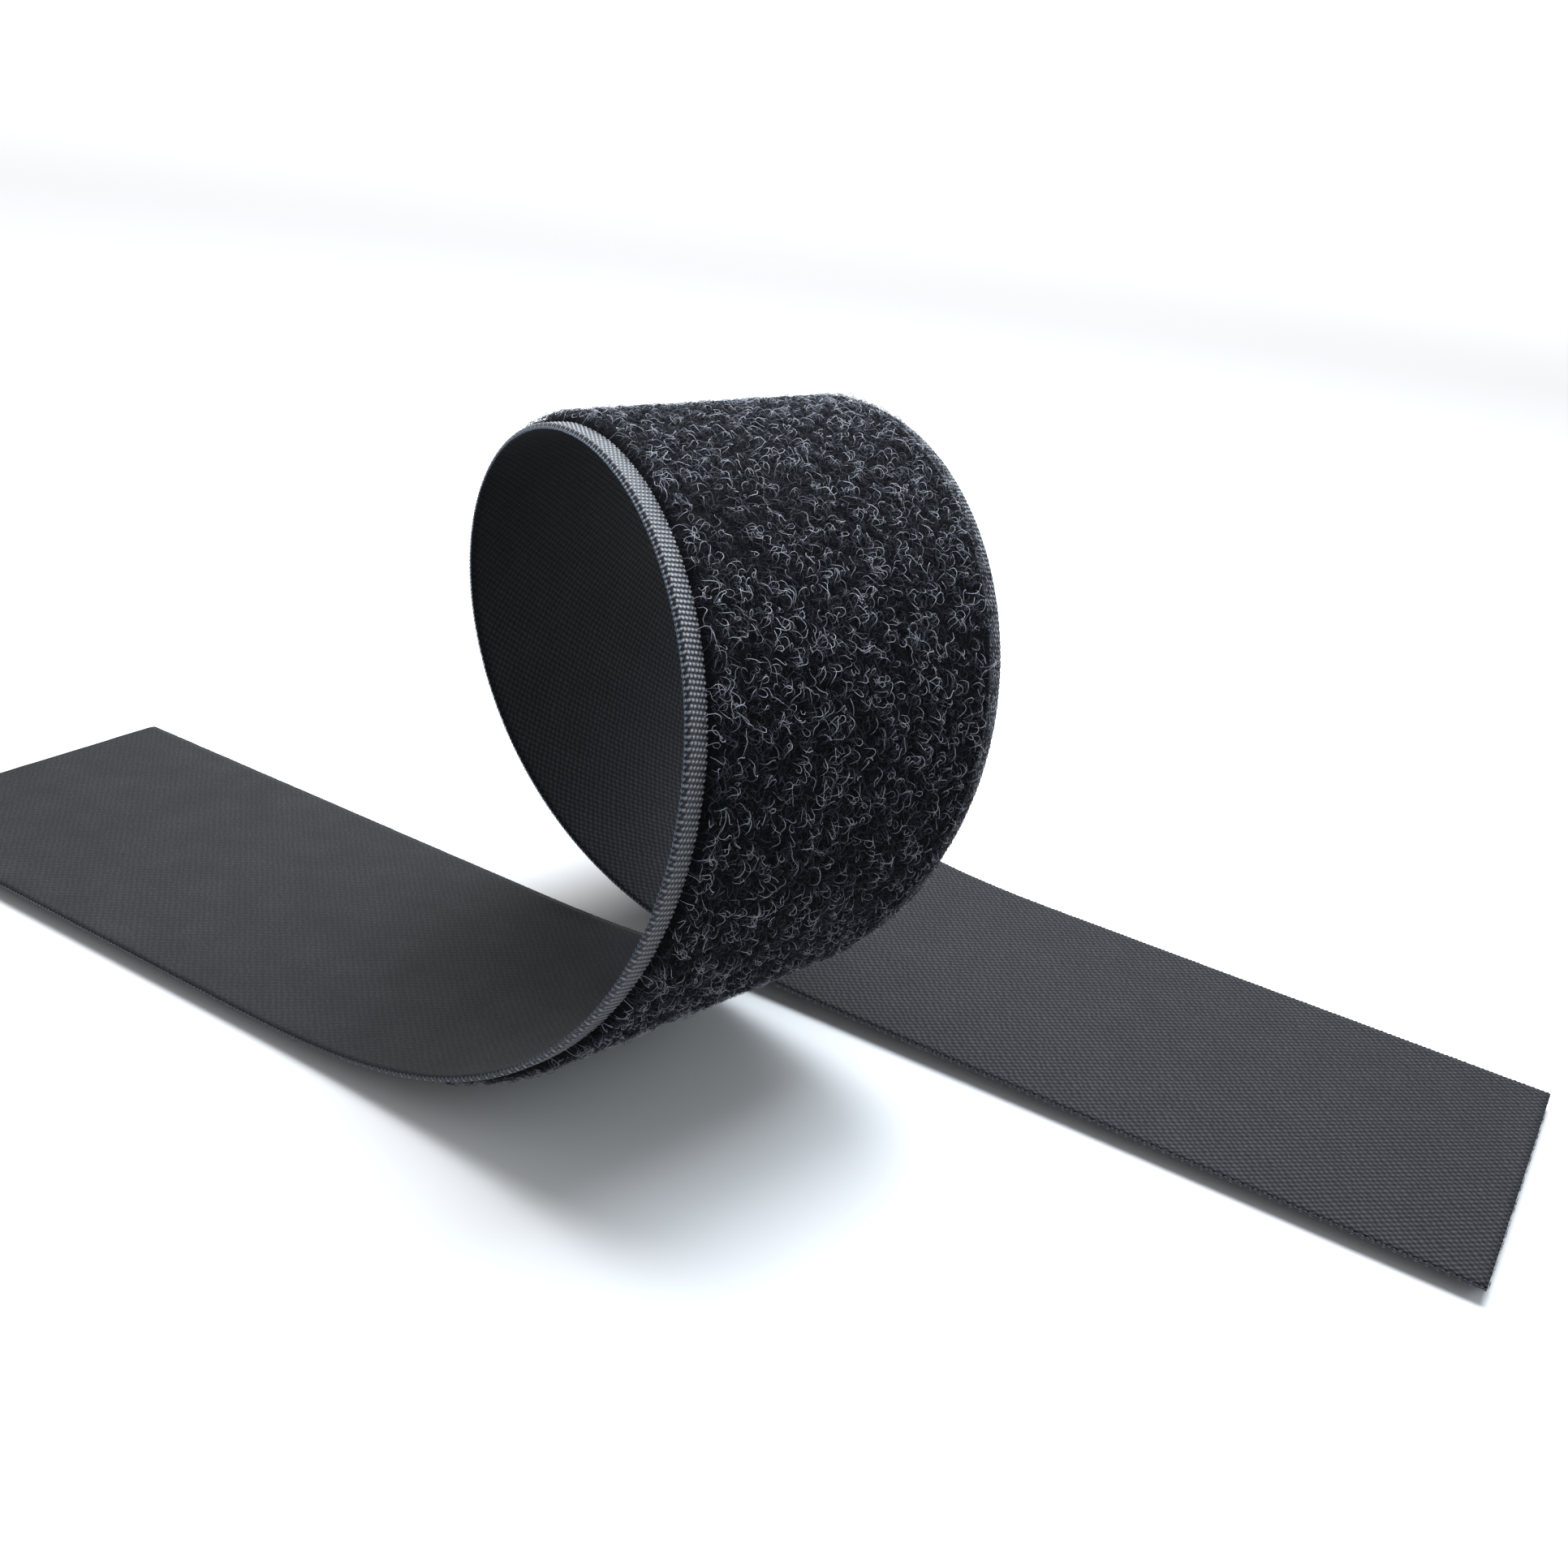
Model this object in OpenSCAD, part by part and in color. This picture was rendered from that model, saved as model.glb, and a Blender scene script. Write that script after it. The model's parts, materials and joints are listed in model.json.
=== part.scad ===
// Loop-side touch fastener tape, laid flat with one upright loop curled in its middle.
//
// The tape comes in from the left, rises, turns over once and lies down again beside itself.
// Seen along the straight lines of its surface, the curled tape is one plane curve: its
// curvature grows from nothing, holds a steady radius round the loop and fades out again.
// The straight lines lie at the helix angle to the tape's width, which carries the outgoing
// half one tape width to the side. Flattened out, the tape is a plain rectangle.
//
// Frame: +X along the tape, +Z up, floor at z = 0, origin on the floor under the loop's top.
// Every layer is given by its place in the flat tape: s along it from the loop's middle,
// w across it from its centre line, and d down from the smooth back towards the pile.

/* [Tape] */
// Length of the flattened tape
tape_len = 430; // [400:5:900]
// Width over both edge cords
tape_w = 50; // [30:1:50]
// Width of the pile-free woven band along each edge, without its cord
selvedge_w = 2.5; // [1.5:0.1:4]
// Diameter of the cord that binds each edge
cord_d = 0.5; // [0.3:0.05:0.6]

/* [Thickness] */
// Smooth coating on the back
coating_t = 0.12; // [0.1:0.01:0.2]
// Woven ground that carries the pile
ground_t = 0.48; // [0.4:0.01:0.6]
// Woven band along each edge
selvedge_t = 0.75; // [0.6:0.01:1]
// Height of the fibre loops
pile_t = 1.6; // [1.2:0.05:2.4]

/* [Loop] */
// Radius of the smooth back round the loop
loop_r = 35; // [35:0.5:45]
// Length over which the tape eases from flat to the loop's curvature
ease_len = 64; // [40:1:90]
// Angle between the tape's width and the straight lines of its curled surface
helix_deg = 13.5; // [13.5:0.1:18]

/* [Bends] */
// Distance along the tape from the loop's middle to each tail's bend line
bend_s = 155; // [155:1:190]
// Slit between the tail and the loop at the bend line
bend_gap = 0.3; // [0.2:0.05:0.5]

/* [Hidden] */

// Colours
coating_colour = "#46474c";
ground_colour = "#2c2d33";
selvedge_colour = "#3c3e47";
cord_colour = "#6f7c8c";
pile_colour = "#1d1e24";

// Slip between bands woven side by side, so that they don't cut into each other
side_slip = 0.02;
// Flat strips between neighbouring straight lines, on each half of the loop
half_strips = 36;
// Sides of the edge cord
cord_sides = 8;

tape_t = coating_t + ground_t + pile_t;
half_len = tape_len / 2;
band_edge = tape_w / 2 - cord_d;
pile_edge = band_edge - selvedge_w;
cord_mid_w = tape_w / 2 - cord_d / 2;
cord_mid_d = coating_t + ground_t / 2;

// Half the length of the curled part, measured square to its straight lines
curl_half = PI * loop_r + ease_len / 2;
strip_w = curl_half / half_strips;

// Share of a smooth step's full area that lies before x, where the step runs from 0 to 1
function eased_area(x) = x <= 0 ? 0 : x >= 1 ? x - 0.5 : x ^ 3 - x ^ 4 / 2;

// Heading of the incoming half of the plane curve, in degrees, u before the loop's middle
function incoming_heading(u) =
    (ease_len / loop_r) * eased_area((u + PI * loop_r) / ease_len + 0.5) * 180 / PI;

// Heading anywhere on the plane curve: the outgoing half mirrors the incoming one
function heading(u) = u <= 0 ? incoming_heading(u) : 360 - incoming_heading(-u);

// Points of the smooth back on the plane curve, from where it leaves the floor to its top
incoming_curve = [
    for (
        i = 0, p = [0, tape_t];
        i <= half_strips;
        p = p + strip_w * [
            cos(heading((i + 0.5) * strip_w - curl_half)),
            sin(heading((i + 0.5) * strip_w - curl_half))
        ], i = i + 1
    ) p
];

// How far the loop's middle lies ahead of the point where the tape leaves the floor
lift_reach = incoming_curve[half_strips].x;
// Half of the tape length that the loop takes up
half_takeup = curl_half - lift_reach;

// Point and heading of the plane curve at straight line number i, counted from the middle
function curve_point(i) =
    let (p = incoming_curve[half_strips - abs(i)], x = p.x - lift_reach)
    [i <= 0 ? x : -x, p.y, heading(i * strip_w)];

// Place of a point of the curved part on straight line i, at width w and depth d
function on_line(i, w, d) =
    let (
        c = curve_point(i),
        along = (w + i * strip_w * sin(helix_deg)) / cos(helix_deg)
    )
    turned([c.x + d * sin(c.z), along, c.y - d * cos(c.z)]);

// The plane curve's frame turned so that the tails run along X
function turned(p) = [
    p.x * cos(helix_deg) + p.y * sin(helix_deg),
    p.y * cos(helix_deg) - p.x * sin(helix_deg),
    p.z
];

// Tail offsets from the unrolled tape: side is -1 on the left and 1 on the right
function tail_shift(side) = side * half_takeup * [-cos(helix_deg), sin(helix_deg), 0];

// Place of a point on a flat tail
function on_tail(side, s, w, d) = [s, w, tape_t - d] + tail_shift(side);

// A ring of the strip's cross-section, given as [w, d] points
function line_ring(i, section) = [for (q = section) on_line(i, q.x, q.y)];
function tail_ring(side, s, section) = [for (q = section) on_tail(side, s, q.x, q.y)];

// A layer of the curled middle: flat to the first straight line, curled, then flat again
module curled_strip(section) {
    n = len(section);
    end_s = bend_s - bend_gap / 2;
    rings = [
        tail_ring(-1, -end_s, section),
        for (i = [-half_strips:half_strips]) line_ring(i, section),
        tail_ring(1, end_s, section)
    ];
    last = len(rings) - 1;
    points = [for (ring = rings) each ring];
    sides = [
        for (k = [0:last - 1], j = [0:n - 1])
            let (a = k * n + j, b = k * n + (j + 1) % n)
            each [[a, b, b + n], [a, b + n, a + n]]
    ];
    start_cap = [for (j = [n - 1:-1:0]) j];
    end_cap = [for (j = [0:n - 1]) last * n + j];
    polyhedron(points = points, faces = concat(sides, [start_cap, end_cap]), convexity = 8);
}

// A layer of a flat tail, from the bend line to the cut end
module tail_strip(side, w_from, w_to, d_from, d_to) {
    long = half_len - bend_s - bend_gap / 2;
    start = side > 0 ? bend_s + bend_gap / 2 : -half_len;
    translate(on_tail(side, start, w_from, d_to))
        cube([long, w_to - w_from, d_to - d_from]);
}

// The same layer on the curled middle (side 0) or on a tail (side -1 or 1)
module layer(side, w_from, w_to, d_from, d_to) {
    if (side == 0)
        curled_strip([[w_from, d_from], [w_from, d_to], [w_to, d_to], [w_to, d_from]]);
    else
        tail_strip(side, w_from, w_to, d_from, d_to);
}

// Smooth back: a thin coating that locks the pile's roots
module back_coating(side) {
    color(coating_colour)
        layer(side, -band_edge, band_edge, 0, coating_t);
}

// Woven ground between the two edge bands
module ground_weave(side) {
    color(ground_colour)
        layer(side, -pile_edge, pile_edge, coating_t, coating_t + ground_t);
}

// Pile-free woven band along an edge: edge is -1 near and 1 far
module selvedge(side, edge) {
    inner = pile_edge + side_slip;
    w_from = edge < 0 ? -band_edge : inner;
    w_to = edge < 0 ? -inner : band_edge;
    color(selvedge_colour)
        layer(side, w_from, w_to, coating_t, coating_t + selvedge_t);
}

// Knitted cord that binds an edge, as the round tube that its stitches fill
module edge_cord(side, edge) {
    r = cord_d / 2 - side_slip;
    mid_w = edge * (cord_mid_w + side_slip);
    section = [
        for (k = [0:cord_sides - 1])
            let (a = -k * 360 / cord_sides)
            [mid_w + r * cos(a), cord_mid_d + r * sin(a)]
    ];
    color(cord_colour)
        if (side == 0)
            curled_strip(section);
        else
            tail_cord(side, mid_w, r);
}

// The edge cord along a flat tail
module tail_cord(side, mid_w, r) {
    long = half_len - bend_s - bend_gap / 2;
    start = side > 0 ? bend_s + bend_gap / 2 : -half_len;
    translate(on_tail(side, start, mid_w, cord_mid_d))
        rotate([0, 90, 0])
            cylinder(h = long, r = r, $fn = 24);
}

// Body that the fibre loops fill
module fibre_pile(side) {
    root = coating_t + ground_t;
    half_w = pile_edge - side_slip;
    color(pile_colour)
        layer(side, -half_w, half_w, root, root + pile_t);
}

back_coating(0);  // loop_back_coating
ground_weave(0);  // loop_ground_weave
selvedge(0, -1);  // loop_near_selvedge
selvedge(0, 1);  // loop_far_selvedge
edge_cord(0, -1);  // loop_near_edge_cord
edge_cord(0, 1);  // loop_far_edge_cord
fibre_pile(0);  // loop_fibre_pile
back_coating(-1);  // left_back_coating
ground_weave(-1);  // left_ground_weave
selvedge(-1, -1);  // left_near_selvedge
selvedge(-1, 1);  // left_far_selvedge
edge_cord(-1, -1);  // left_near_edge_cord
edge_cord(-1, 1);  // left_far_edge_cord
fibre_pile(-1);  // left_fibre_pile
back_coating(1);  // right_back_coating
ground_weave(1);  // right_ground_weave
selvedge(1, -1);  // right_near_selvedge
selvedge(1, 1);  // right_far_selvedge
edge_cord(1, -1);  // right_near_edge_cord
edge_cord(1, 1);  // right_far_edge_cord
fibre_pile(1);  // right_fibre_pile
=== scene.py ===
import json
import math

import bpy
import numpy as np
from mathutils import Matrix, Vector


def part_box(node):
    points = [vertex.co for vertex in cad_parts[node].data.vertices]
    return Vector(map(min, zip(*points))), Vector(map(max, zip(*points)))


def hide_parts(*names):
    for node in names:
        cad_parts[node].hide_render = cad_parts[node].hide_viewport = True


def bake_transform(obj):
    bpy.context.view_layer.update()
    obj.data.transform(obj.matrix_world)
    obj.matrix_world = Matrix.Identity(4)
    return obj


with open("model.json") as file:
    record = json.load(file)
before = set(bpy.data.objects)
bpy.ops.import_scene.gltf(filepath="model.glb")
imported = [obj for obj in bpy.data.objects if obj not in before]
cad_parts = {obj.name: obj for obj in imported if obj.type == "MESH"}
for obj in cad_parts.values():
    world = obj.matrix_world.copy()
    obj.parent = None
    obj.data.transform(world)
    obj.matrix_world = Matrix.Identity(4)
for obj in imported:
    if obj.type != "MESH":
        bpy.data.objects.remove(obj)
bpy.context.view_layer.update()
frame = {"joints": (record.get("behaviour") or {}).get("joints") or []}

# A strip of loop-side touch fastener tape with one upright curl, on a pale studio floor.
#
# Every layer is shaped in the flat tape first, in millimetres: s along the tape from the
# curl's middle, w across it from its centre line, and d down from the smooth back towards
# the pile. place() then curls it as the CAD part is curled and turns it into metres.

MM = 0.001

# The tape, as in the CAD part
HALF_LEN = 215.0
HALF_W = 25.0
CORD_D = 0.5
SELVEDGE_W = 2.5
COATING_T = 0.12
GROUND_T = 0.48
LOOP_R = 35.0
EASE_LEN = 64.0
HELIX = math.radians(13.5)
BAND_EDGE = HALF_W - CORD_D
PILE_EDGE = BAND_EDGE - SELVEDGE_W
PILE_ROOT = COATING_T + GROUND_T
TAPE_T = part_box("left_back_coating")[1].z / MM

# The weave: the edge band's crosswise rows of floats, and the back's crossing threads
ROW = 0.6
FLOAT_W = 0.48
FLOAT_SLANT = 0.16
BACK_PICK = 0.56
BACK_END = 0.5

# The pile: its matted foot reaches a little past the band's edge, and fibres rise from it
MAT_HALF_W = PILE_EDGE + 0.25
MAT_T = 0.78
FIBRE_R = 0.025
FIBRE_ROOT = 0.5
FIBRE_STEP = 0.35
FIBRES_PER_MM2 = 5.0
# Shares of the fibres' copies, darkest first: from painted shade to painted highlight
LIT_LEVEL_SHARES = [0.42, 0.28, 0.19, 0.11]

# Beyond this distance from the curl's middle the pile lies near the floor
STRAY_HALF_LEN = 105.0

# The camera: where it stands, the way it looks and its tilt about that line
CAMERA_AZIMUTH = math.radians(28.7)
CAMERA_ELEVATION = math.radians(23.6)
CAMERA_ROLL = math.radians(7.6)
CAMERA_PLACE = (0.1040, -0.1675, 0.1150)
CAMERA_LENS = 37.3

rng = np.random.default_rng(7)


# ---------------------------------------------------------------- the curled tape's shape


def eased_area(x):
    """Area under a smooth step from 0 to 1, up to x."""
    inside = np.clip(x, 0, 1)
    return inside**3 - inside**4 / 2 + np.maximum(x - 1, 0)


def heading(u):
    """Heading of the curled tape's plane curve at u, measured from the curl's middle."""
    turned = EASE_LEN / LOOP_R * eased_area((math.pi * LOOP_R - np.abs(u)) / EASE_LEN + 0.5)
    return np.where(u <= 0, turned, 2 * math.pi - turned)


def plane_curve():
    """Stations u along the plane curve and its points (x, z) there, smooth back side."""
    half = math.pi * LOOP_R + EASE_LEN / 2
    u = np.linspace(-half, half, 5001)
    step = u[1] - u[0]
    middle = heading((u[1:] + u[:-1]) / 2)
    x = np.concatenate([[0], np.cumsum(np.cos(middle) * step)])
    z = TAPE_T + np.concatenate([[0], np.cumsum(np.sin(middle) * step)])
    return u, x - x[len(u) // 2], z


CURVE_U, CURVE_X, CURVE_Z = plane_curve()


def place(s, w, d):
    """Points in metres, in the CAD's frame, of flat-tape places s, w, d in millimetres."""
    s, w, d = np.broadcast_arrays(s, w, d)
    u = s * math.cos(HELIX) - w * math.sin(HELIX)
    along = s * math.sin(HELIX) + w * math.cos(HELIX)
    curled = np.clip(u, CURVE_U[0], CURVE_U[-1])
    angle = heading(curled)
    x = np.interp(curled, CURVE_U, CURVE_X) + u - curled + d * np.sin(angle)
    z = np.interp(curled, CURVE_U, CURVE_Z) - d * np.cos(angle)
    across = along * math.cos(HELIX) - x * math.sin(HELIX)
    return np.stack([x * math.cos(HELIX) + along * math.sin(HELIX), across, z], -1) * MM


def bumps(s, w, size, seed):
    """Smooth random values from -1 to 1 over the flat tape, with lumps of that size."""
    count = 64
    lattice = np.random.default_rng(seed).uniform(-1, 1, (count, count))
    a, b = s / size + 200.0, w / size + 200.0
    i, j = np.floor(a).astype(int), np.floor(b).astype(int)
    fa, fb = a - i, b - j
    fa, fb = fa * fa * (3 - 2 * fa), fb * fb * (3 - 2 * fb)

    def corner(di, dj):
        return lattice[(i + di) % count, (j + dj) % count]

    low = corner(0, 0) * (1 - fa) + corner(1, 0) * fa
    high = corner(0, 1) * (1 - fa) + corner(1, 1) * fa
    return low * (1 - fb) + high * fb


# ---------------------------------------------------------------- meshes


def new_piece(name, points, faces, materials, tints=None, flat=None):
    """A smooth mesh object. faces holds one row of point numbers per face. tints gives
    each face's material. flat gives each point's s and w, kept as the UV map "tape"."""
    mesh = bpy.data.meshes.new(name)
    sides = faces.shape[1]
    mesh.vertices.add(len(points))
    mesh.vertices.foreach_set("co", points.astype(np.float32).ravel())
    mesh.loops.add(faces.size)
    mesh.loops.foreach_set("vertex_index", faces.astype(np.int32).ravel())
    mesh.polygons.add(len(faces))
    mesh.polygons.foreach_set("loop_start", np.arange(0, faces.size, sides, dtype=np.int32))
    mesh.polygons.foreach_set("use_smooth", np.ones(len(faces), bool))
    if tints is not None:
        mesh.polygons.foreach_set("material_index", tints.astype(np.int32))
    if flat is not None:
        uv = mesh.uv_layers.new(name="tape")
        uv.data.foreach_set("uv", flat[faces.ravel()].astype(np.float32).ravel())
    for material in materials:
        mesh.materials.append(material)
    mesh.update(calc_edges=True)
    mesh.validate()
    piece = bpy.data.objects.new(name, mesh)
    bpy.context.scene.collection.objects.link(piece)
    return piece


def tube_faces(rings, count):
    """Faces of an open tube of that many rings, each of count points."""
    ring, k = np.meshgrid(np.arange(rings - 1), np.arange(count), indexing="ij")
    a, b = ring * count + k, ring * count + (k + 1) % count
    return np.stack([a, b, b + count, a + count], -1).reshape(-1, 4)


def swept(name, stations, ring_w, ring_d, material):
    """A closed layer of the tape: a ring of w and d values at each station s along it."""
    s = np.broadcast_to(stations[:, None], ring_w.shape)
    rings, count = ring_w.shape
    points = place(s, ring_w, ring_d).reshape(-1, 3)
    flat = np.stack([s, ring_w], -1).reshape(-1, 2)
    faces = tube_faces(rings, count)
    half = count // 2
    ends = []
    for base, turn in ((0, 1), (count * (rings - 1), -1)):
        for k in range(half - 1):
            quad = [base + k, base + k + 1, base + count - 2 - k, base + count - 1 - k]
            ends.append(quad[::turn])
    faces = np.concatenate([faces[:, ::-1], np.array(ends)])
    return new_piece(name, points, faces, [material], flat=flat)


def layer(name, side, step_s, w_values, top, bottom, material):
    """A layer over one half of the tape. side is -1 or 1. top and bottom give d at s, w."""
    stations = np.linspace(0, side * HALF_LEN, round(HALF_LEN / step_s) + 1)
    stations = np.sort(stations)
    w = np.concatenate([w_values, w_values[::-1]])
    ring_w = np.broadcast_to(w, (len(stations), len(w)))
    s, ww = np.meshgrid(stations, w_values, indexing="ij")
    ring_d = np.concatenate([top(s, ww), bottom(s, ww)[:, ::-1]], axis=1)
    return swept(name, stations, ring_w, ring_d, material)


# ---------------------------------------------------------------- materials


class Nodes:
    """A material's node tree, with short calls to add nodes and link them."""

    def __init__(self, name):
        self.material = bpy.data.materials.new(name)
        self.material.use_nodes = True
        self.tree = self.material.node_tree
        self.shader = self.tree.nodes["Principled BSDF"]

    def add(self, kind, **settings):
        node = self.tree.nodes.new(kind)
        for key, value in settings.items():
            setattr(node, key, value)
        return node

    def link(self, source, target):
        self.tree.links.new(source, target)

    def math(self, operation, *values):
        node = self.add("ShaderNodeMath", operation=operation)
        for socket, value in zip(node.inputs, values):
            if isinstance(value, (int, float)):
                socket.default_value = value
            else:
                self.link(value, socket)
        return node.outputs[0]

    def tape(self):
        """The flat tape's coordinates: both together, then s and w, in millimetres."""
        uv = self.add("ShaderNodeUVMap", uv_map="tape")
        split = self.add("ShaderNodeSeparateXYZ")
        self.link(uv.outputs["UV"], split.inputs[0])
        return uv.outputs["UV"], split.outputs["X"], split.outputs["Y"]

    def noise(self, uv, size, detail=2.0, stretch=(1, 1, 1)):
        """Noise with lumps of that size, in millimetres."""
        mapping = self.add("ShaderNodeMapping")
        mapping.inputs["Scale"].default_value = [k / size for k in stretch]
        self.link(uv, mapping.inputs["Vector"])
        noise = self.add("ShaderNodeTexNoise")
        noise.inputs["Scale"].default_value = 1.0
        noise.inputs["Detail"].default_value = detail
        self.link(mapping.outputs["Vector"], noise.inputs["Vector"])
        return noise.outputs["Fac"]

    def ramp(self, value, *stops):
        """stops are (position, colour) pairs."""
        node = self.add("ShaderNodeValToRGB")
        elements = node.color_ramp.elements
        while len(elements) < len(stops):
            elements.new(0.5)
        for element, (position, colour) in zip(elements, stops):
            element.position = position
            element.color = (*colour, 1)
        self.link(value, node.inputs["Fac"])
        return node.outputs["Color"]

    def bump(self, height, distance, strength=1.0):
        node = self.add("ShaderNodeBump")
        node.inputs["Distance"].default_value = distance
        node.inputs["Strength"].default_value = strength
        self.link(height, node.inputs["Height"])
        self.link(node.outputs["Normal"], self.shader.inputs["Normal"])

    def set(self, **values):
        for key, value in values.items():
            self.shader.inputs[key.replace("_", " ")].default_value = value


def back_material():
    """The coated back: a matt coat over a fine plain weave, which shows more to the right. Its
    colour holds painted shade, darker to the right and lighter to the left.
    """
    m = Nodes("coated_back")
    flat, s, w = m.tape()
    wander = m.math("MULTIPLY", m.noise(flat, 1.6, 2.0), 0.7)
    pick = m.math("SINE", m.math("MULTIPLY", m.math("ADD", s, wander), math.pi / BACK_PICK))
    end = m.math("SINE", m.math("MULTIPLY", m.math("ADD", w, wander), math.pi / BACK_END))
    # A ramp along s that rises to the right: it brings out the weave and also paints shade
    weave_and_painted_shade_ramp = m.math("MAXIMUM", m.math("MULTIPLY_ADD", s, 0.003, 0.35), 0.18)
    crossing = m.math("MULTIPLY", m.math("MULTIPLY", pick, end), weave_and_painted_shade_ramp)
    weave = m.math("MULTIPLY_ADD", crossing, 0.8, 0.5)
    patchy = m.noise(flat, 6.0, 3.0)
    speckle = m.noise(flat, 0.45, 3.0)
    grain = m.math("MULTIPLY_ADD", weave, 0.6, m.math("MULTIPLY", speckle, 0.4))
    shade = m.math("MULTIPLY_ADD", patchy, 0.2, m.math("MULTIPLY", grain, 0.8))
    # Painted shade: the colour is darkened towards the right tail and lightened towards the left
    shade = m.math("MULTIPLY_ADD", weave_and_painted_shade_ramp, -0.12, m.math("ADD", shade, 0.045))
    colour = m.ramp(
        shade,
        (0.15, (0.004, 0.004, 0.006)),
        (0.5, (0.0155, 0.0155, 0.0175)),
        (0.9, (0.05, 0.05, 0.055)),
    )
    m.link(colour, m.shader.inputs["Base Color"])
    m.link(m.math("MULTIPLY_ADD", weave, -0.15, 0.75), m.shader.inputs["Roughness"])
    m.bump(grain, 0.0001)
    m.set(Specular_IOR_Level=0.14)
    return m.material


def ground_material():
    """The woven ground, seen only at the cut ends: warp threads end on."""
    m = Nodes("ground_weave")
    flat, _, w = m.tape()
    end = m.math("ABSOLUTE", m.math("SINE", m.math("MULTIPLY", w, math.pi / BACK_END)))
    fuzz = m.noise(flat, 0.3, 3.0)
    colour = m.ramp(
        m.math("MULTIPLY", end, fuzz),
        (0.1, (0.012, 0.012, 0.016)),
        (0.8, (0.06, 0.062, 0.075)),
    )
    m.link(colour, m.shader.inputs["Base Color"])
    m.bump(end, 0.0001)
    m.set(Roughness=0.85)
    return m.material


def selvedge_material():
    """The woven edge band: crosswise rows of short slanted floats, in brick order."""
    m = Nodes("selvedge")
    flat, s, w = m.tape()
    row = m.math("FLOOR", m.math("DIVIDE", s, ROW))
    odd = m.math("FLOORED_MODULO", row, 2.0)
    across = m.math("DIVIDE", m.math("SUBTRACT", m.math("ABSOLUTE", w), PILE_EDGE), FLOAT_W)
    column = m.math("MULTIPLY_ADD", odd, 0.5, across)
    slant = m.math("MULTIPLY", m.math("SUBTRACT", m.math("FRACT", column), 0.5), FLOAT_SLANT)
    turn_s = m.math("MULTIPLY", m.math("ADD", s, slant), math.pi / ROW)
    float_s = m.math("ABSOLUTE", m.math("SINE", turn_s))
    float_w = m.math("ABSOLUTE", m.math("SINE", m.math("MULTIPLY", column, math.pi)))
    height = m.math("MULTIPLY", m.math("POWER", float_s, 1.6), m.math("POWER", float_w, 0.6))
    strands = m.noise(flat, 0.12, 2.0, (1, 0.3, 1))
    # Colour follows float height: near black in the gaps, a painted shade; pale on the crests,
    # partly the thread's own tone and partly a painted highlight
    colour = m.ramp(
        m.math("MULTIPLY", height, m.math("MULTIPLY_ADD", strands, 0.9, 0.5)),
        (0.1, (0.003, 0.003, 0.006)),
        (0.45, (0.03, 0.032, 0.045)),
        (0.85, (0.34, 0.355, 0.39)),
    )
    m.link(colour, m.shader.inputs["Base Color"])
    m.bump(m.math("MULTIPLY", height, strands), 0.00008)
    m.set(Roughness=0.45, Sheen_Weight=0.2, Sheen_Roughness=0.4)
    return m.material


def cord_material():
    """The edge cord's pale blue-grey thread, darker along the tails. Its paleness over the curl
    is a painted highlight.
    """
    m = Nodes("edge_cord")
    flat, s, _ = m.tape()
    fuzz = m.noise(flat, 0.5, 3.0)
    stitch = m.math("ABSOLUTE", m.math("SINE", m.math("MULTIPLY", s, math.pi / ROW)))
    # Painted highlight: the cord is paler over the curl, where its rim catches the light, and
    # darker along the tails
    on_tail = m.math("DIVIDE", m.math("ABSOLUTE", s), 100.0)
    curl_highlight = m.math("MAXIMUM", m.math("SUBTRACT", 1.5, on_tail), 0.3)
    curl_highlight = m.math("MINIMUM", curl_highlight, 1.0)
    lit = m.math("MULTIPLY", m.math("POWER", stitch, 1.5), m.math("ADD", fuzz, 0.4))
    lit = m.math("MULTIPLY", lit, curl_highlight)
    colour = m.ramp(lit, (0.2, (0.008, 0.01, 0.018)), (0.8, (0.22, 0.31, 0.42)))
    m.link(colour, m.shader.inputs["Base Color"])
    m.set(Roughness=0.55, Sheen_Weight=0.3, Sheen_Roughness=0.4)
    return m.material


def mat_material():
    """The matted foot of the pile: near black, with the sense of fibres below. Its near black is
    partly the black fibres' own colour and partly painted shade deep in the pile.
    """
    m = Nodes("pile_mat")
    flat, _, _ = m.tape()
    fine = m.noise(flat, 0.28, 4.0)
    colour = m.ramp(
        fine,
        (0.4, (0.002, 0.002, 0.003)),
        (0.65, (0.007, 0.007, 0.01)),
        (0.8, (0.03, 0.031, 0.04)),
    )
    m.link(colour, m.shader.inputs["Base Color"])
    m.bump(fine, 0.0003)
    m.set(Roughness=0.95, Specular_IOR_Level=0.1)
    return m.material


def fibre_material(name, colour, roughness, gloss):
    """One copy of the black curly fibres, each painted to its own lightness: the palest carries
    a painted highlight, the darkest painted shade.
    """
    m = Nodes(name)
    m.set(Base_Color=(*colour, 1), Roughness=roughness, Specular_IOR_Level=gloss)
    m.set(Sheen_Weight=0.3 * gloss, Sheen_Roughness=0.35)
    return m.material


# ---------------------------------------------------------------- the tape's layers


def flat_to(d):
    return lambda s, w: np.full(s.shape, d)


def back_cloth(side, name, material):
    """The smooth back, with the faint cockle of a coated weave."""

    def top(s, w):
        edge = np.clip((BAND_EDGE - np.abs(w)) / 1.2, 0, 1)
        cockle = 0.05 * bumps(s, w, 9.0, 3) + 0.02 * bumps(s, w, 2.5, 4)
        return 0.02 + cockle * edge + 0.1 * (1 - edge) ** 2

    w = np.linspace(-BAND_EDGE, BAND_EDGE, 60)
    return layer(name, side, 1.0, w, top, flat_to(COATING_T + 0.12), material)


def ground_cloth(side, name, material):
    """The woven ground under the back."""
    w = np.linspace(-PILE_EDGE - 0.2, PILE_EDGE + 0.2, 16)
    return layer(name, side, 1.0, w, flat_to(COATING_T + 0.08), flat_to(PILE_ROOT), material)


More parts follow.
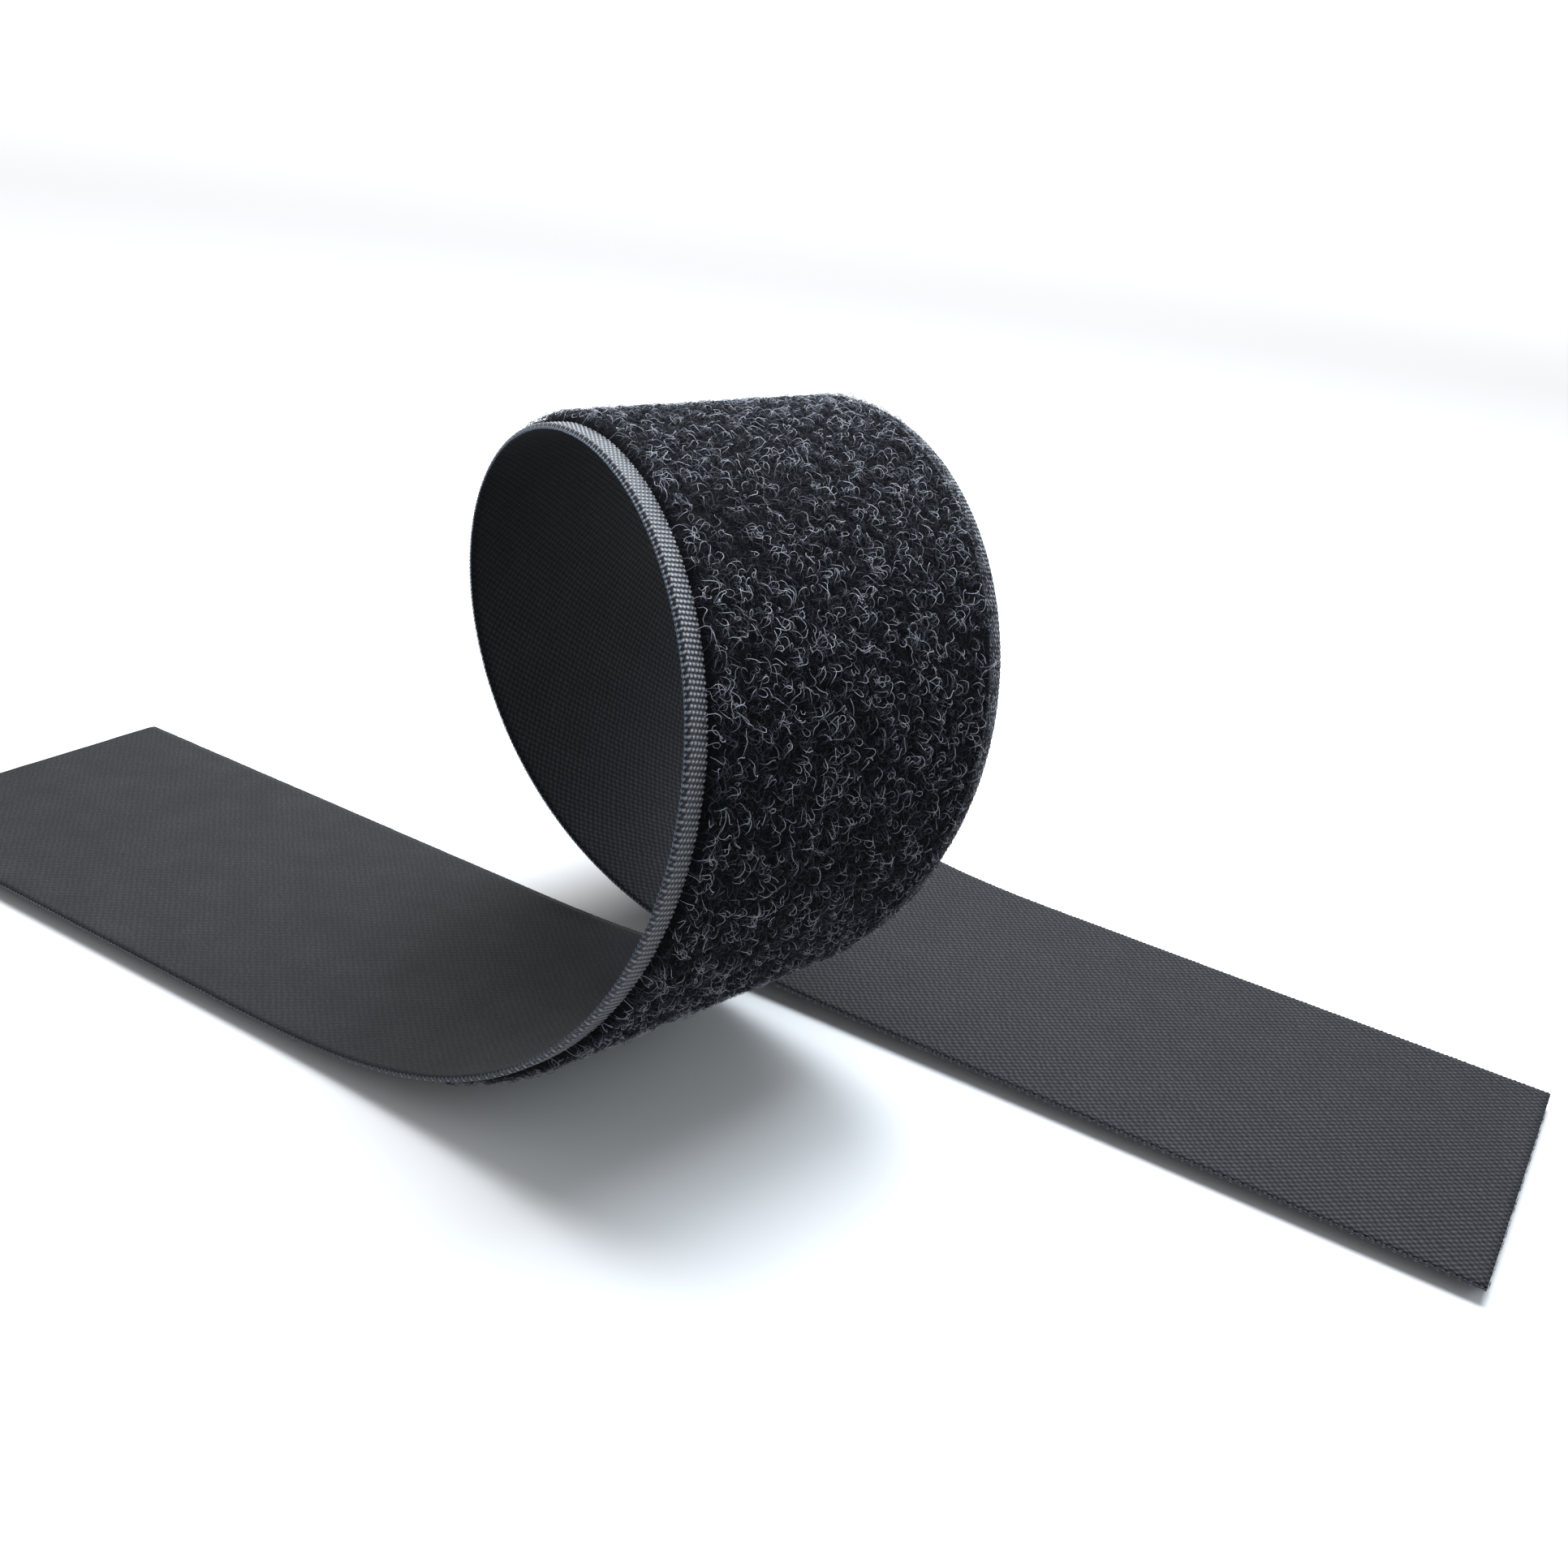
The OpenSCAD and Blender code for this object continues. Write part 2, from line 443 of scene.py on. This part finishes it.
def edge_band(side, edge, name, material):
    """The pile-free woven band along an edge, each float raised and the rim rounded."""

    def floats(s, w):
        odd = np.floor(s / ROW) % 2
        column = (np.abs(w) - PILE_EDGE) / FLOAT_W + 0.5 * odd
        slant = (column % 1 - 0.5) * FLOAT_SLANT
        float_s = np.abs(np.sin(math.pi * (s + slant) / ROW))
        float_w = np.abs(np.sin(math.pi * column))
        raised = 0.14 * float_s**0.8 * float_w**0.5
        rim = np.clip((np.abs(w) - BAND_EDGE + 0.35) / 0.35, 0, 1)
        rounded = 0.5 * (1 - 0.75 * rim**2.5)
        return COATING_T + 0.03 + rounded + raised + 0.015 * bumps(s, w, 1.3, 5)

    w = np.linspace(PILE_EDGE - 0.3, BAND_EDGE, 28)
    w = w if edge > 0 else -w[::-1]
    return layer(name, side, ROW / 5, w, flat_to(COATING_T), floats, material)


def pile_mat(side, name, material):
    """The matted lower part of the pile, lumpy as the loops clump together."""

    def outer(s, w):
        edge = np.clip((MAT_HALF_W - np.abs(w)) / 1.1, 0, 1) ** 0.5
        lumps = 0.07 * bumps(s, w, 2.1, 11) + 0.09 * bumps(s, w, 0.9, 12)
        return PILE_ROOT + (MAT_T + lumps) * edge

    w = np.linspace(-MAT_HALF_W, MAT_HALF_W, 96)
    return layer(name, side, 0.5, w, flat_to(PILE_ROOT - 0.05), outer, material)


def edge_cord(side, edge, name, material):
    """The edge cord: two threads twisted round each other, one crossing to a row."""
    per_row, corners, thread_r = 6, 5, 0.06
    count = round(HALF_LEN / ROW * per_row) + 1
    stations = np.sort(np.linspace(0, side * HALF_LEN, count))
    around = np.arange(corners) * 2 * math.pi / corners
    points, faces, flat = [], [], []
    for ply in (0, 1):
        turn = math.pi * stations / ROW + ply * math.pi
        reach = 0.08 + 0.03 * bumps(stations, stations * 0, 1.7, 21 + ply)
        mid_w = edge * (BAND_EDGE + 0.1 + reach * np.cos(turn))
        mid_d = COATING_T + 0.12 + 1.2 * reach * np.sin(turn)
        s = np.broadcast_to(stations[:, None], (count, corners))
        w = mid_w[:, None] + thread_r * np.cos(around)
        d = mid_d[:, None] + thread_r * np.sin(around)
        faces.append(tube_faces(count, corners) + ply * s.size)
        points.append(place(s, w, d).reshape(-1, 3))
        flat.append(np.stack([s, w + ply], -1).reshape(-1, 2))
    points, faces, flat = (np.concatenate(each) for each in (points, faces, flat))
    return new_piece(name, points, faces, [material], flat=flat)


def curls(side, name, materials):
    """Curly fibres: each rises from the mat, winds about and sinks back into it."""
    half_w = PILE_EDGE + 0.1
    count = round(FIBRES_PER_MM2 * 2 * half_w * HALF_LEN)
    t = np.linspace(0, 1, 8)
    # Each fibre takes one of the lit and shaded copies of the same black fibre
    lit_level = rng.choice(len(materials), count, p=LIT_LEVEL_SHARES)

    # Where each fibre stands, reaching further over the far edge than the near one
    start_s = side * rng.uniform(0, HALF_LEN, count)
    start_w = rng.uniform(-half_w, half_w + 1.5, count)

    # Its winding path, seen from above the flat tape
    tightest = rng.choice([-1, 1], count) / rng.lognormal(math.log(0.45), 0.45, count)
    swing = rng.uniform(0, 2 * math.pi, count)[:, None] + t * rng.uniform(1.5, 6, count)[:, None]
    turned = np.cumsum(tightest[:, None] * (0.35 + np.cos(swing)) * FIBRE_STEP, axis=1)
    angle = rng.uniform(0, 2 * math.pi, count)[:, None] + turned
    s = np.cumsum(np.cos(angle) * FIBRE_STEP, axis=1)
    w = np.cumsum(np.sin(angle) * FIBRE_STEP, axis=1)
    s = s - s.mean(1, keepdims=True) + start_s[:, None]
    w = w - w.mean(1, keepdims=True) + start_w[:, None]
    s = np.clip(s, -HALF_LEN - 0.2, HALF_LEN + 0.2)
    reach = np.where(w > 0, half_w + 2.1, half_w + 0.6)
    over = np.abs(w) - reach
    w = np.where(over > 0, np.sign(w) * (reach - 0.6 * over), w)

    # Its height: a few strays stand out of the curl's pile, and edge fibres lie low. The paler
    # copies stand a little taller, so the pile's top holds more painted highlight.
    tall = rng.uniform(0.5, 0.9, count) + 0.07 * lit_level
    on_curl = np.abs(start_s) < STRAY_HALF_LEN
    stray = np.where(on_curl & (rng.random(count) < 0.06), rng.uniform(0.0, 0.4, count), 0)
    edge_height = np.clip(half_w + 0.9 - np.abs(w), 0.4, 1)
    rise = np.sin(math.pi * np.clip(t * 0.9 + 0.05, 0, 1)) ** 0.7
    wobble = 0.1 * np.sin(t * 9 + rng.uniform(0, 6, count)[:, None])
    in_mat = np.clip((half_w + 0.5 - np.abs(w)) / 0.6, 0, 1)
    d = PILE_ROOT + FIBRE_ROOT * in_mat + (tall + stray)[:, None] * rise * edge_height + wobble
    d = np.minimum(d, TAPE_T - 1.3 * FIBRE_R + stray[:, None])
    return fibre_mesh(name, np.stack([s, w, d], -1), lit_level, materials)


def fibre_mesh(name, line, lit_level, materials):
    """Thin tubes along many lines at once, given in the flat tape as (fibre, point, s w d)."""
    sides = 3
    count, points_each = line.shape[:2]
    along = np.gradient(line, axis=1)
    along /= np.linalg.norm(along, axis=2, keepdims=True) + 1e-9
    beside = np.cross(along, [0.0, 0.0, 1.0])
    beside /= np.linalg.norm(beside, axis=2, keepdims=True) + 1e-9
    above = np.cross(beside, along)
    thick = FIBRE_R * rng.uniform(0.75, 1.25, (count, 1))
    taper = np.minimum(1.0, 0.35 + 3 * np.sin(math.pi * np.linspace(0, 1, points_each)))
    radius = (thick * taper)[:, :, None, None]
    corner = (np.arange(sides) * 2 * math.pi / sides)[:, None]
    ring = beside[:, :, None] * np.cos(corner) + above[:, :, None] * np.sin(corner)
    tube = line[:, :, None] + ring * radius
    points = place(tube[..., 0], tube[..., 1], tube[..., 2]).reshape(-1, 3)
    one = tube_faces(points_each, sides)
    first = np.arange(count) * points_each * sides
    faces = (one[None] + first[:, None, None]).reshape(-1, 4)
    return new_piece(name, points, faces, materials, tints=np.repeat(lit_level, len(one)))


# ---------------------------------------------------------------- building the tape


def bend_at_hinge(piece, side):
    """Looks up the hinge of that tail's joint, then bakes the piece's transform into its mesh.
    """
    tail = "left_tail" if side < 0 else "right_tail"
    joint = next(j for j in frame["joints"] if j["child"] == tail)
    hinge = Vector(joint["pos_m"])
    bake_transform(piece)


def build_half(side, materials):
    """Every piece of one half of the tape, each standing for the CAD nodes of its layer."""
    tail = "left" if side < 0 else "right"

    def finish(piece, part):
        bend_at_hinge(piece, side)
        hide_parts(f"loop_{part}", f"{tail}_{part}")

    back = back_cloth(side, f"{tail}_back_cloth", materials["back"])
    finish(back, "back_coating")
    ground = ground_cloth(side, f"{tail}_ground_cloth", materials["ground"])
    finish(ground, "ground_weave")
    for edge, word in ((-1, "near"), (1, "far")):
        band = edge_band(side, edge, f"{tail}_{word}_edge_band", materials["selvedge"])
        finish(band, f"{word}_selvedge")
        cord = edge_cord(side, edge, f"{tail}_{word}_edge_thread", materials["cord"])
        finish(cord, f"{word}_edge_cord")
    mat = pile_mat(side, f"{tail}_pile_mat", materials["mat"])
    finish(mat, "fibre_pile")
    fibres = curls(side, f"{tail}_fibre_curls", materials["fibres"])
    finish(fibres, "fibre_pile")


def build_tape():
    materials = {
        "back": back_material(),
        "ground": ground_material(),
        "selvedge": selvedge_material(),
        "cord": cord_material(),
        "mat": mat_material(),
        # Lit and shaded copies of the one black fibre, from painted shade to painted highlight
        "fibres": [
            fibre_material("fibre_painted_deep_shade", (0.002, 0.002, 0.005), 0.5, 0.1),
            fibre_material("fibre_painted_shade", (0.012, 0.0135, 0.022), 0.45, 0.15),
            fibre_material("fibre_painted_half_light", (0.07, 0.076, 0.098), 0.45, 0.25),
            fibre_material("fibre_painted_highlight", (0.56, 0.59, 0.67), 0.4, 0.5),
        ],
    }
    for side in (-1, 1):
        build_half(side, materials)


# ---------------------------------------------------------------- studio


def build_floor():
    """A pale floor that sweeps up into a backdrop behind the tape. It sends no diffuse light
    back up, so the underside of the curl stays dark."""
    run, rise, radius, width = 4.0, 4.0, 1.5, 16.0
    turn = np.linspace(0, math.pi / 2, 17)
    profile = [(-3.0, 0.0)]
    profile += [(run + radius * math.sin(a), radius - radius * math.cos(a)) for a in turn]
    profile += [(run + radius, rise)]
    profile = np.array(profile)
    toward = np.array([-math.sin(CAMERA_AZIMUTH), math.cos(CAMERA_AZIMUTH)])
    beside = np.array([math.cos(CAMERA_AZIMUTH), math.sin(CAMERA_AZIMUTH)])
    points = []
    for reach, height in profile:
        for half in (-width / 2, width / 2):
            points.append([*(toward * reach + beside * half), height])
    faces = np.array([[2 * k, 2 * k + 1, 2 * k + 3, 2 * k + 2] for k in range(len(profile) - 1)])
    m = Nodes("studio_floor")
    m.set(Base_Color=(0.82, 0.82, 0.82, 1), Roughness=0.9, Specular_IOR_Level=0.1)
    floor = new_piece("floor", np.array(points), faces, [m.material])
    floor.visible_diffuse = False


def add_softbox(name, place_m, aim, size, power, colour):
    light = bpy.data.lights.new(name, "AREA")
    light.shape = "RECTANGLE"
    light.size, light.size_y = size
    light.energy = power
    light.color = colour
    box = bpy.data.objects.new(name, light)
    box.location = place_m
    box.rotation_euler = (Vector(aim) - Vector(place_m)).to_track_quat("-Z", "Y").to_euler()
    bpy.context.scene.collection.objects.link(box)


def build_lights():
    """A broad overhead light, soft boxes above and behind, and a little from all round."""
    world = bpy.data.worlds.new("studio")
    world.use_nodes = True
    background = world.node_tree.nodes["Background"]
    background.inputs["Color"].default_value = (0.95, 0.97, 1, 1)
    background.inputs["Strength"].default_value = 0.42
    bpy.context.scene.world = world
    sun = bpy.data.lights.new("overhead", "SUN")
    sun.energy = 2.55
    sun.angle = math.radians(40)
    sun.color = (0.98, 0.99, 1)
    lamp = bpy.data.objects.new("overhead", sun)
    lamp.rotation_euler = Vector((-0.35, 0.4, 1)).to_track_quat("Z", "Y").to_euler()
    bpy.context.scene.collection.objects.link(lamp)
    add_softbox("top", (0.0, 0.2, 0.45), (0.02, 0, 0.06), (0.35, 0.35), 3.1, (0.8, 0.9, 1))
    add_softbox("rim", (0.4, 0.38, 0.22), (0.03, 0, 0.05), (0.2, 0.25), 0.7, (0.8, 0.92, 1))
    add_softbox("backdrop_wash", (-1.3, 2.3, 2.6), (-2.6, 4.8, 0.6), (4, 1), 190, (1, 1, 1))


def build_camera():
    azimuth, elevation, roll = CAMERA_AZIMUTH, CAMERA_ELEVATION, CAMERA_ROLL
    level = Vector((-math.sin(azimuth), math.cos(azimuth), 0))
    look = level * math.cos(elevation) - Vector((0, 0, math.sin(elevation)))
    right = Vector((math.cos(azimuth), math.sin(azimuth), 0))
    up = right.cross(look)
    tilted_right = right * math.cos(roll) + up * math.sin(roll)
    tilted_up = up * math.cos(roll) - right * math.sin(roll)
    camera = bpy.data.cameras.new("camera")
    camera.lens = CAMERA_LENS
    camera.sensor_width = 36
    camera.clip_start = 0.01
    eye = bpy.data.objects.new("camera", camera)
    turn = Matrix((tilted_right, tilted_up, -look)).transposed().to_4x4()
    eye.matrix_world = Matrix.Translation(CAMERA_PLACE) @ turn
    bpy.context.scene.collection.objects.link(eye)
    bpy.context.scene.camera = eye


build_camera()
build_tape()
build_floor()
build_lights()
bpy.context.scene.view_settings.view_transform = "Standard"
